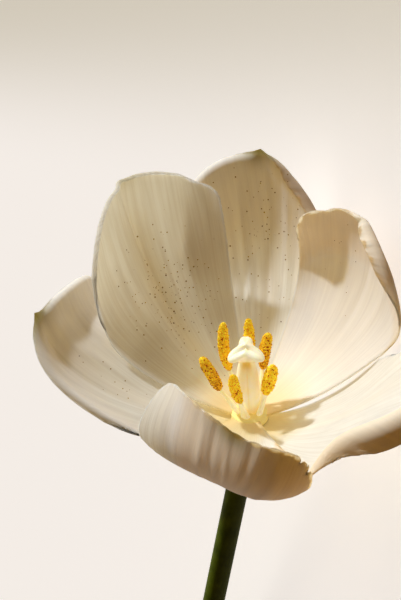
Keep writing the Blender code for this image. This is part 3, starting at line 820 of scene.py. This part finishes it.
class MakeStamens(bpy.types.Operator):
    """Make the six stamens: cream filaments and pollen-covered anthers"""
    bl_idname = "tulip.make_stamens"
    bl_label = "Stamens"

    def execute(self, context):
        look = context.scene.tulip_look
        cream = smooth_tissue("cream_filament_skin", linear("#fdf6dc"), linear("#f6e8b4"),
                              300.0, 0.45, 0.7, linear("#fdf6dc"), glow=0.16)
        pollen = pollen_coat(look)
        grain = context.scene.tulip_sizes.grain_height / MM
        for number, values in STAMENS.items():
            self.filament(number, values, cream)
            self.anther(number, values, pollen, grain)
        return {"FINISHED"}

    def line(self, values):
        """Foot of the filament, foot and tip of the anther, and the two ways across."""
        azimuth, foot_radius, foot_height, tip_radius, tip_height = values[:5]
        azimuth = math.radians(azimuth)
        out = np.array([math.cos(azimuth), math.sin(azimuth), 0.0])
        up = np.array([0.0, 0.0, 1.0])
        seat = out * FILAMENT_FOOT_RADIUS + up * (RECEPTACLE_TOP + 0.3)
        foot = out * foot_radius + up * foot_height
        tip = out * tip_radius + up * tip_height
        return seat, foot, tip, np.cross(out, up)

    def filament(self, number, values, surface):
        """A rod along a line, flat at its foot, narrowing to the power 1.2 of the way."""
        seat, foot, tip, tangent = self.line(values)
        lean = (foot - seat) / np.linalg.norm(foot - seat)
        depth = np.cross(lean, tangent)
        rings, around = 40, 32
        way = np.linspace(0.0, 1.0, rings)[:, None, None]
        turn = np.linspace(0.0, 2 * np.pi, around, endpoint=False)[None, :, None]
        size = (1.0 - 0.55 * way**1.2) * np.minimum(1.0, np.sqrt((way + 0.003) / 0.03))
        centre = seat + (foot - seat) * way
        wide, deep = FILAMENT_HALF_WIDTHS
        points = centre + tangent * wide * size * np.cos(turn) + depth * deep * size * np.sin(turn)
        piece = closed_skin(f"filament_{number}_rod", points, surface)
        finished(piece, [f"filament_{number}"])

    def anther(self, number, values, surface, grain):
        """A long bag: half width times a round of the power 3.2 of its way, with a furrow down
        its inner face, a sideways bow, and grains of a fixed random height."""
        _, foot, tip, tangent = self.line(values)
        half, bow = values[5:]
        lean = (tip - foot) / np.linalg.norm(tip - foot)
        depth = np.cross(lean, tangent)
        rings, around = 110, 72
        s = np.linspace(0.004, 0.996, rings)[:, None]
        turn = np.linspace(0.0, 2 * np.pi, around, endpoint=False)[None, :]
        way = 0.5 - 0.5 * np.cos(np.pi * s)
        body = np.sqrt(1.0 - np.abs(2.0 * way - 1.0) ** 3.2)
        from_face = np.mod(turn - np.pi / 2 + np.pi, 2 * np.pi) - np.pi
        furrow = 1.0 - 0.3 * np.exp(-((from_face / 0.3) ** 2))
        rough = np.random.default_rng(40 + number).normal(0.0, 1.0, (rings, around))
        rough = (rough + np.roll(rough, 1, 0) + np.roll(rough, 1, 1)
                 + np.roll(rough, (1, 1), (0, 1))) / 2.0
        size = (body * furrow * half + grain * rough * np.minimum(1.0, body * 2))[:, :, None]
        side = (bow * np.sin(np.pi * way))[:, :, None] * tangent
        centre = foot + (tip - foot) * way[:, :, None] + side
        points = centre + size * (1.15 * tangent * np.cos(turn)[:, :, None]
                                  + depth * np.sin(turn)[:, :, None])
        piece = closed_skin(f"anther_{number}_bag", points, surface)
        # the pollen coat browns toward the anther's foot
        browner_toward_foot = BROWN_TOWARD_FOOT.get(number, 0.0) * (1.0 - way) ** 0.6 * np.ones_like(turn)
        paint(piece, "browner_toward_foot", np.append(browner_toward_foot, [0.0, 0.0]))
        finished(piece, [f"anther_{number}"])


class MakePistil(bpy.types.Operator):
    """Make the three-sided ovary with its three-lobed stigma"""
    bl_idname = "tulip.make_pistil"
    bl_label = "Pistil"

    def execute(self, context):
        """Radius and height against the way along the profile and the turn: a column with
        three soft sides, a cap whose rim reaches out and droops at three lobes, and a top
        drawn in to the middle with a groove along each lobe."""
        rings, around = 150, 144
        neck, brim = 0.6, 0.8
        s = np.linspace(0.0, 1.0, rings)[:, None]
        turn = np.linspace(0.0, 2 * np.pi, around, endpoint=False)[None, :]
        three = np.cos(3.0 * (turn - math.radians(LOBE_AZIMUTH)))
        lobe = (0.5 + 0.5 * three) ** 1.3
        column = np.clip(s / neck, 0, 1)
        belly = 1.95 + 1.15 * np.sin(np.pi * np.clip(column * 1.05, 0, 1)) ** 0.8
        column_r = belly * (1.0 + 0.09 * three - 0.05 * np.exp(-((1 + three) / 0.12) ** 2))
        column_z = PISTIL_FOOT + OVARY_HEIGHT * column
        rim_r = 2.5 + 2.9 * lobe
        rim_z = STIGMA_HEIGHT - 0.9 * lobe + 0.16 * rim_r * np.sin(turn)
        flare = np.clip((s - neck) / (brim - neck), 0, 1)
        under_r = column_r + (rim_r - column_r) * flare ** 1.6
        under_z = column_z + (rim_z - column_z) * smooth(flare)
        over = np.clip((s - brim) / (1.0 - brim), 0, 1)
        top_r = rim_r * np.cos(over * np.pi / 2) ** 0.9
        groove = 0.15 * np.exp(-((1 - three) / 0.05) ** 2) * np.sin(np.pi * over)
        top_z = rim_z + (1.5 + 0.5 * lobe) * np.sin(over * np.pi / 2) ** 0.7 - groove
        r = np.where(s < brim, under_r, top_r)
        z = np.where(s < brim, under_z, top_z)
        points = np.stack([r * np.cos(turn), r * np.sin(turn), z + 0 * turn], axis=-1)
        skin = smooth_tissue("pale_yellow_pistil_skin", linear("#fcf5dc"), linear("#f8ebbb"),
                             220.0, 0.4, 0.7, linear("#eccb60"))
        piece = closed_skin("pistil_column", points, skin)
        # golden: painted shade in the hollow under the cap, and the pistil's own golden tone along
        # the grooves and at the foot
        golden = np.exp(-((s - 0.58) / 0.07) ** 2) * smooth(0.7 - 0.6 * three)
        along_groove = 0.3 * np.exp(-((1 + three) / 0.05) ** 2) * smooth((neck - s) / 0.05)
        at_foot = 0.7 * smooth((0.16 - s) / 0.16)
        golden = np.maximum(np.maximum(golden, along_groove), at_foot)
        paint(piece, "pale", np.append(golden, [0.7, 0.0]))
        finished(piece, ["pistil"])
        return {"FINISHED"}


class MakeStalk(bpy.types.Operator):
    """Make the green stalk with its receptacle"""
    bl_idname = "tulip.make_stalk"
    bl_label = "Stalk"

    def execute(self, context):
        """Rings along a line that turns off the flower's axis just under the bloom; the
        radius dies away from the receptacle's to the stalk's over 4 mm."""
        lean = math.radians(STALK_LEAN)
        down = np.array([-math.sin(lean), 0.0, -math.cos(lean)])
        head = np.array(RECEPTACLE_HEIGHTS)
        run = STALK_LENGTH * np.linspace(0, 1, 120)[1:] ** 1.3
        centre = np.concatenate([np.stack([0 * head, 0 * head, head], axis=1),
                                 np.array([0.0, 0.0, head[-1]]) + run[:, None] * down])
        radius = np.concatenate([np.array(RECEPTACLE_RADII),
                                 STALK_RADIUS + STALK_SWELL * np.exp(-run / 4.0)])
        turn = np.linspace(0, 2 * np.pi, 64, endpoint=False)
        across = np.array([math.cos(lean), 0.0, -math.sin(lean)])
        level = smooth(-centre[:, 2:3] / 6.0)
        right = (1 - level) * np.array([1.0, 0.0, 0.0]) + level * across
        back = np.array([0.0, 1.0, 0.0])
        out = np.cos(turn)[None, :, None] * right[:, None] + np.sin(turn)[None, :, None] * back
        points = (centre[:, None] + radius[:, None, None] * out)[::-1]
        skin = smooth_tissue("green_stalk_skin", linear("#5c6600"), linear("#3e4600"),
                             160.0, 0.6, 0.0, linear("#f3df8c"), gloss=0.06, all_glows=False)
        piece = closed_skin("stalk_rod", points, skin)
        # pale above the blades' seat
        heights = np.append(points[:, :, 2], [-STALK_LENGTH, RECEPTACLE_TOP])
        paint(piece, "pale", smooth((heights + 1.6) / 1.6))
        finished(piece, ["stalk"])
        return {"FINISHED"}


class MakeStudio(bpy.types.Operator):
    """Make the pale floor, the light and the photograph's view"""
    bl_idname = "tulip.make_studio"
    bl_label = "Studio"

    def execute(self, context):
        scene = context.scene
        studio = scene.tulip_studio
        axes = self.view_axes()
        turn = Matrix(axes.T.tolist())
        camera = bpy.data.objects.new("view", bpy.data.cameras.new("view"))
        camera.data.sensor_width = SENSOR_WIDTH
        camera.data.lens = SENSOR_WIDTH * VIEW_DISTANCE / MM_PER_PIXEL / PICTURE[1]
        camera.data.clip_end = FAR_CLIP
        seat = np.array([(SEAT_PIXEL[0] - PICTURE[0] / 2) * MM_PER_PIXEL,
                         (PICTURE[1] / 2 - SEAT_PIXEL[1]) * MM_PER_PIXEL, -VIEW_DISTANCE])
        eye = laid_down(np.zeros((1, 3)))[0] - seat @ axes * MM
        camera.matrix_world = Matrix.Translation(eye.tolist()) @ turn.to_4x4()
        scene.collection.objects.link(camera)
        scene.camera = camera
        scene.view_settings.view_transform = "Standard"
        key = bpy.data.objects.new("key", bpy.data.lights.new("key", "SUN"))
        key.data.energy = studio.key_strength
        key.data.angle = studio.key_angle
        key.data.color = KEY_COLOUR
        to_light = Vector((np.array(KEY_WAY) @ axes).tolist())
        key.matrix_world = to_light.to_track_quat("Z", "Y").to_matrix().to_4x4()
        scene.collection.objects.link(key)
        self.soft_room(scene, studio, np.array(BRIGHT_WAY) @ axes)
        self.floor(scene, studio, np.array(FLOOR_WAY) @ axes, key)
        return {"FINISHED"}

    def view_axes(self):
        """The camera's right, up and backward ways in the frame, as three rows."""
        rise, lean = math.radians(AXIS_RISE), math.radians(AXIS_LEAN)
        flower = np.array([
            [math.cos(lean), -math.sin(rise) * math.sin(lean), -math.sin(lean) * math.cos(rise)],
            [math.sin(lean), math.sin(rise) * math.cos(lean), math.cos(lean) * math.cos(rise)],
            [0.0, -math.cos(rise), math.sin(rise)]])
        return flower @ np.array(LIE.to_3x3()).T

    def soft_room(self, scene, studio, bright):
        """A dark room in front that brightens toward a pale wall behind the bloom."""
        world = bpy.data.worlds.new("soft_room")
        world.use_nodes = True
        tree = world.node_tree
        tree.nodes.clear()
        place = add(tree, "ShaderNodeTexCoord").outputs["Generated"]
        colour = blend(tree, ramp(tree, facing(tree, place, bright), *BRIGHT_SPAN),
                       studio.shade_colour, studio.fill_colour)
        sky = add(tree, "ShaderNodeBackground", None, Color=colour, Strength=studio.fill_strength)
        add(tree, "ShaderNodeOutputWorld", None, Surface=sky.outputs[0])
        scene.world = world

    def floor(self, scene, studio, away, key):
        """A flat pale sheet, lit evenly by a light of its own and not by the key light, and a
        touch darker where it runs away behind the bloom, which is painted shade."""
        mesh = bpy.data.meshes.new("pale_floor")
        half = FLOOR_HALF
        corners = [(-half, -half, 0), (half, -half, 0), (half, half, 0), (-half, half, 0)]
        mesh.from_pydata(corners, [], [(0, 1, 2, 3)])
        made, tree = new_material("pale_floor_paint")
        place = add(tree, "ShaderNodeTexCoord").outputs["Object"]
        # painted shade: the floor darkens where it runs away behind the bloom
        runs_away = ramp(tree, facing(tree, place, away), *studio.floor_turn,
                         kind="SMOOTHERSTEP")
        tone = blend(tree, runs_away, studio.floor_colour, studio.floor_far_colour)
        shader = skin_shader(tree, tone, tone, Roughness=0.9, Specular_IOR_Level=0.0,
                             Emission_Strength=studio.floor_glow)
        add(tree, "ShaderNodeOutputMaterial", None, Surface=shader)
        mesh.materials.append(made)
        floor = bpy.data.objects.new("pale_floor", mesh)
        floor.location.z = -FLOOR_GAP
        floor.visible_diffuse = floor.visible_shadow = False
        scene.collection.objects.link(floor)
        unlit = bpy.data.collections.new("not_by_the_key")
        unlit.objects.link(floor)
        key.light_linking.receiver_collection = unlit
        unlit.collection_objects[0].light_linking.link_state = "EXCLUDE"


class TulipPanel(bpy.types.Panel):
    """Buttons and settings of the tulip"""
    bl_idname = "VIEW3D_PT_tulip"
    bl_label = "White tulip"
    bl_space_type = "VIEW_3D"
    bl_region_type = "UI"
    bl_category = "Tulip"

    def draw(self, context):
        for step in STEPS:
            self.layout.operator(step.bl_idname, text=step.bl_label)
        for group in GROUPS:
            settings = getattr(context.scene, group)
            box = self.layout.box()
            for key in settings.bl_rna.properties.keys():
                if key not in ("rna_type", "name"):
                    box.prop(settings, key)


STEPS = (MakeTepals, MakeStamens, MakePistil, MakeStalk, MakeStudio)
GROUPS = {"tulip_look": TulipLook, "tulip_sizes": TulipSizes, "tulip_studio": TulipStudio}


def register():
    for cls in (*GROUPS.values(), *STEPS, TulipPanel):
        bpy.utils.register_class(cls)
    for key, cls in GROUPS.items():
        setattr(bpy.types.Scene, key, PointerProperty(type=cls))


def unregister():
    for key in GROUPS:
        delattr(bpy.types.Scene, key)
    for cls in reversed((*GROUPS.values(), *STEPS, TulipPanel)):
        bpy.utils.unregister_class(cls)


def main():
    register()
    bpy.ops.tulip.make_tepals()
    bpy.ops.tulip.make_stamens()
    bpy.ops.tulip.make_pistil()
    bpy.ops.tulip.make_stalk()
    bpy.ops.tulip.make_studio()


if __name__ == "__main__":
    main()
